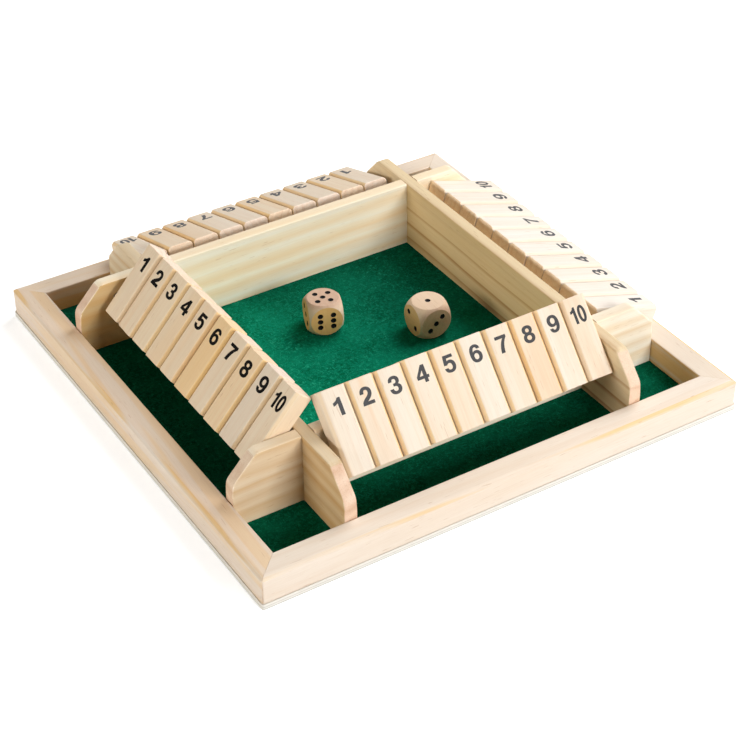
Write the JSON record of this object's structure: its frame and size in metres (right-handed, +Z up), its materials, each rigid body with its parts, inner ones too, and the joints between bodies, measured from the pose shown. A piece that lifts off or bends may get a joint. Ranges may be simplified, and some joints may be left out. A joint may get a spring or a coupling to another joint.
{
  "type": "shut the box game",
  "caption": "Square wooden tray with a felt-lined dice arena walled by crossed boards, and along each side a row of hinged number tiles that flip between a raised and a lowered stop.",
  "frame": {"origin": "centre of the tray's underside", "axes": "+X to the right along the front rail, +Y towards the back rail, +Z up out of the tray"},
  "size_m": [0.3, 0.3, 0.0667],
  "materials": {
    "rail_pine": "sanded pine under clear satin lacquer",
    "base_board": "thin board with a pale cut edge",
    "green_felt": "short-napped needle felt",
    "wall_pine": "sanded pine under clear satin lacquer",
    "axle_steel": "drawn steel rod",
    "tile_wood": "sanded pine under clear satin lacquer, with printed numbers",
    "dice_wood": "polished beech with black dished pips"
  },
  "bodies": {
    "tray": {"base_panel": "base_board", "felt_lining": "green_felt", "rail_front": "rail_pine", "wall_front": "wall_pine", "axle_front": "axle_steel", "rail_right": "rail_pine", "wall_right": "wall_pine", "axle_right": "axle_steel", "rail_back": "rail_pine", "wall_back": "wall_pine", "axle_back": "axle_steel", "rail_left": "rail_pine", "wall_left": "wall_pine", "axle_left": "axle_steel"},
    "tile_front_01": {"tile_front_01": "tile_wood"},
    "tile_front_02": {"tile_front_02": "tile_wood"},
    "tile_front_03": {"tile_front_03": "tile_wood"},
    "tile_front_04": {"tile_front_04": "tile_wood"},
    "tile_front_05": {"tile_front_05": "tile_wood"},
    "tile_front_06": {"tile_front_06": "tile_wood"},
    "tile_front_07": {"tile_front_07": "tile_wood"},
    "tile_front_08": {"tile_front_08": "tile_wood"},
    "tile_front_09": {"tile_front_09": "tile_wood"},
    "tile_front_10": {"tile_front_10": "tile_wood"},
    "tile_right_01": {"tile_right_01": "tile_wood"},
    "tile_right_02": {"tile_right_02": "tile_wood"},
    "tile_right_03": {"tile_right_03": "tile_wood"},
    "tile_right_04": {"tile_right_04": "tile_wood"},
    "tile_right_05": {"tile_right_05": "tile_wood"},
    "tile_right_06": {"tile_right_06": "tile_wood"},
    "tile_right_07": {"tile_right_07": "tile_wood"},
    "tile_right_08": {"tile_right_08": "tile_wood"},
    "tile_right_09": {"tile_right_09": "tile_wood"},
    "tile_right_10": {"tile_right_10": "tile_wood"},
    "tile_back_01": {"tile_back_01": "tile_wood"},
    "tile_back_02": {"tile_back_02": "tile_wood"},
    "tile_back_03": {"tile_back_03": "tile_wood"},
    "tile_back_04": {"tile_back_04": "tile_wood"},
    "tile_back_05": {"tile_back_05": "tile_wood"},
    "tile_back_06": {"tile_back_06": "tile_wood"},
    "tile_back_07": {"tile_back_07": "tile_wood"},
    "tile_back_08": {"tile_back_08": "tile_wood"},
    "tile_back_09": {"tile_back_09": "tile_wood"},
    "tile_back_10": {"tile_back_10": "tile_wood"},
    "tile_left_01": {"tile_left_01": "tile_wood"},
    "tile_left_02": {"tile_left_02": "tile_wood"},
    "tile_left_03": {"tile_left_03": "tile_wood"},
    "tile_left_04": {"tile_left_04": "tile_wood"},
    "tile_left_05": {"tile_left_05": "tile_wood"},
    "tile_left_06": {"tile_left_06": "tile_wood"},
    "tile_left_07": {"tile_left_07": "tile_wood"},
    "tile_left_08": {"tile_left_08": "tile_wood"},
    "tile_left_09": {"tile_left_09": "tile_wood"},
    "tile_left_10": {"tile_left_10": "tile_wood"},
    "die_one": {"die_one": "dice_wood"},
    "die_two": {"die_two": "dice_wood"}
  },
  "joints": [
    {"name": "tile_front_01_hinge", "type": "hinge", "parent": "tray", "child": "tile_front_01", "pos_m": [0, -0.1104, 0.036], "axis": [1, 0, 0], "range_deg": [0, 149.18]},
    {"name": "tile_front_02_hinge", "type": "hinge", "parent": "tray", "child": "tile_front_02", "pos_m": [0, -0.1104, 0.036], "axis": [1, 0, 0], "range_deg": [0, 149.18]},
    {"name": "tile_front_03_hinge", "type": "hinge", "parent": "tray", "child": "tile_front_03", "pos_m": [0, -0.1104, 0.036], "axis": [1, 0, 0], "range_deg": [0, 149.18]},
    {"name": "tile_front_04_hinge", "type": "hinge", "parent": "tray", "child": "tile_front_04", "pos_m": [0, -0.1104, 0.036], "axis": [1, 0, 0], "range_deg": [0, 149.18]},
    {"name": "tile_front_05_hinge", "type": "hinge", "parent": "tray", "child": "tile_front_05", "pos_m": [0, -0.1104, 0.036], "axis": [1, 0, 0], "range_deg": [0, 149.18]},
    {"name": "tile_front_06_hinge", "type": "hinge", "parent": "tray", "child": "tile_front_06", "pos_m": [0, -0.1104, 0.036], "axis": [1, 0, 0], "range_deg": [0, 149.18]},
    {"name": "tile_front_07_hinge", "type": "hinge", "parent": "tray", "child": "tile_front_07", "pos_m": [0, -0.1104, 0.036], "axis": [1, 0, 0], "range_deg": [0, 149.18]},
    {"name": "tile_front_08_hinge", "type": "hinge", "parent": "tray", "child": "tile_front_08", "pos_m": [0, -0.1104, 0.036], "axis": [1, 0, 0], "range_deg": [0, 149.18]},
    {"name": "tile_front_09_hinge", "type": "hinge", "parent": "tray", "child": "tile_front_09", "pos_m": [0, -0.1104, 0.036], "axis": [1, 0, 0], "range_deg": [0, 149.18]},
    {"name": "tile_front_10_hinge", "type": "hinge", "parent": "tray", "child": "tile_front_10", "pos_m": [0, -0.1104, 0.036], "axis": [1, 0, 0], "range_deg": [0, 149.18]},
    {"name": "tile_right_01_hinge", "type": "hinge", "parent": "tray", "child": "tile_right_01", "pos_m": [0.1104, 0, 0.036], "axis": [0, 1, 0], "range_deg": [-149.18, 0]},
    {"name": "tile_right_02_hinge", "type": "hinge", "parent": "tray", "child": "tile_right_02", "pos_m": [0.1104, 0, 0.036], "axis": [0, 1, 0], "range_deg": [-149.18, 0]},
    {"name": "tile_right_03_hinge", "type": "hinge", "parent": "tray", "child": "tile_right_03", "pos_m": [0.1104, 0, 0.036], "axis": [0, 1, 0], "range_deg": [-149.18, 0]},
    {"name": "tile_right_04_hinge", "type": "hinge", "parent": "tray", "child": "tile_right_04", "pos_m": [0.1104, 0, 0.036], "axis": [0, 1, 0], "range_deg": [-149.18, 0]},
    {"name": "tile_right_05_hinge", "type": "hinge", "parent": "tray", "child": "tile_right_05", "pos_m": [0.1104, 0, 0.036], "axis": [0, 1, 0], "range_deg": [-149.18, 0]},
    {"name": "tile_right_06_hinge", "type": "hinge", "parent": "tray", "child": "tile_right_06", "pos_m": [0.1104, 0, 0.036], "axis": [0, 1, 0], "range_deg": [-149.18, 0]},
    {"name": "tile_right_07_hinge", "type": "hinge", "parent": "tray", "child": "tile_right_07", "pos_m": [0.1104, 0, 0.036], "axis": [0, 1, 0], "range_deg": [-149.18, 0]},
    {"name": "tile_right_08_hinge", "type": "hinge", "parent": "tray", "child": "tile_right_08", "pos_m": [0.1104, 0, 0.036], "axis": [0, 1, 0], "range_deg": [-149.18, 0]},
    {"name": "tile_right_09_hinge", "type": "hinge", "parent": "tray", "child": "tile_right_09", "pos_m": [0.1104, 0, 0.036], "axis": [0, 1, 0], "range_deg": [-149.18, 0]},
    {"name": "tile_right_10_hinge", "type": "hinge", "parent": "tray", "child": "tile_right_10", "pos_m": [0.1104, 0, 0.036], "axis": [0, 1, 0], "range_deg": [-149.18, 0]},
    {"name": "tile_back_01_hinge", "type": "hinge", "parent": "tray", "child": "tile_back_01", "pos_m": [0, 0.1104, 0.036], "axis": [-1, 0, 0], "range_deg": [-149.18, 0]},
    {"name": "tile_back_02_hinge", "type": "hinge", "parent": "tray", "child": "tile_back_02", "pos_m": [0, 0.1104, 0.036], "axis": [-1, 0, 0], "range_deg": [-149.18, 0]},
    {"name": "tile_back_03_hinge", "type": "hinge", "parent": "tray", "child": "tile_back_03", "pos_m": [0, 0.1104, 0.036], "axis": [-1, 0, 0], "range_deg": [-149.18, 0]},
    {"name": "tile_back_04_hinge", "type": "hinge", "parent": "tray", "child": "tile_back_04", "pos_m": [0, 0.1104, 0.036], "axis": [-1, 0, 0], "range_deg": [-149.18, 0]},
    {"name": "tile_back_05_hinge", "type": "hinge", "parent": "tray", "child": "tile_back_05", "pos_m": [0, 0.1104, 0.036], "axis": [-1, 0, 0], "range_deg": [-149.18, 0]},
    {"name": "tile_back_06_hinge", "type": "hinge", "parent": "tray", "child": "tile_back_06", "pos_m": [0, 0.1104, 0.036], "axis": [-1, 0, 0], "range_deg": [-149.18, 0]},
    {"name": "tile_back_07_hinge", "type": "hinge", "parent": "tray", "child": "tile_back_07", "pos_m": [0, 0.1104, 0.036], "axis": [-1, 0, 0], "range_deg": [-149.18, 0]},
    {"name": "tile_back_08_hinge", "type": "hinge", "parent": "tray", "child": "tile_back_08", "pos_m": [0, 0.1104, 0.036], "axis": [-1, 0, 0], "range_deg": [-149.18, 0]},
    {"name": "tile_back_09_hinge", "type": "hinge", "parent": "tray", "child": "tile_back_09", "pos_m": [0, 0.1104, 0.036], "axis": [-1, 0, 0], "range_deg": [-149.18, 0]},
    {"name": "tile_back_10_hinge", "type": "hinge", "parent": "tray", "child": "tile_back_10", "pos_m": [0, 0.1104, 0.036], "axis": [-1, 0, 0], "range_deg": [-149.18, 0]},
    {"name": "tile_left_01_hinge", "type": "hinge", "parent": "tray", "child": "tile_left_01", "pos_m": [-0.1104, 0, 0.036], "axis": [0, -1, 0], "range_deg": [0, 149.18]},
    {"name": "tile_left_02_hinge", "type": "hinge", "parent": "tray", "child": "tile_left_02", "pos_m": [-0.1104, 0, 0.036], "axis": [0, -1, 0], "range_deg": [0, 149.18]},
    {"name": "tile_left_03_hinge", "type": "hinge", "parent": "tray", "child": "tile_left_03", "pos_m": [-0.1104, 0, 0.036], "axis": [0, -1, 0], "range_deg": [0, 149.18]},
    {"name": "tile_left_04_hinge", "type": "hinge", "parent": "tray", "child": "tile_left_04", "pos_m": [-0.1104, 0, 0.036], "axis": [0, -1, 0], "range_deg": [0, 149.18]},
    {"name": "tile_left_05_hinge", "type": "hinge", "parent": "tray", "child": "tile_left_05", "pos_m": [-0.1104, 0, 0.036], "axis": [0, -1, 0], "range_deg": [0, 149.18]},
    {"name": "tile_left_06_hinge", "type": "hinge", "parent": "tray", "child": "tile_left_06", "pos_m": [-0.1104, 0, 0.036], "axis": [0, -1, 0], "range_deg": [0, 149.18]},
    {"name": "tile_left_07_hinge", "type": "hinge", "parent": "tray", "child": "tile_left_07", "pos_m": [-0.1104, 0, 0.036], "axis": [0, -1, 0], "range_deg": [0, 149.18]},
    {"name": "tile_left_08_hinge", "type": "hinge", "parent": "tray", "child": "tile_left_08", "pos_m": [-0.1104, 0, 0.036], "axis": [0, -1, 0], "range_deg": [0, 149.18]},
    {"name": "tile_left_09_hinge", "type": "hinge", "parent": "tray", "child": "tile_left_09", "pos_m": [-0.1104, 0, 0.036], "axis": [0, -1, 0], "range_deg": [0, 149.18]},
    {"name": "tile_left_10_hinge", "type": "hinge", "parent": "tray", "child": "tile_left_10", "pos_m": [-0.1104, 0, 0.036], "axis": [0, -1, 0], "range_deg": [0, 149.18]},
    {"name": "die_one_lift", "type": "slide", "parent": "tray", "child": "die_one", "axis": [0, 0, 1], "range_m": [0, 0.09]},
    {"name": "die_two_lift", "type": "slide", "parent": "tray", "child": "die_two", "axis": [0, 0, 1], "range_m": [0, 0.09]}
  ]
}
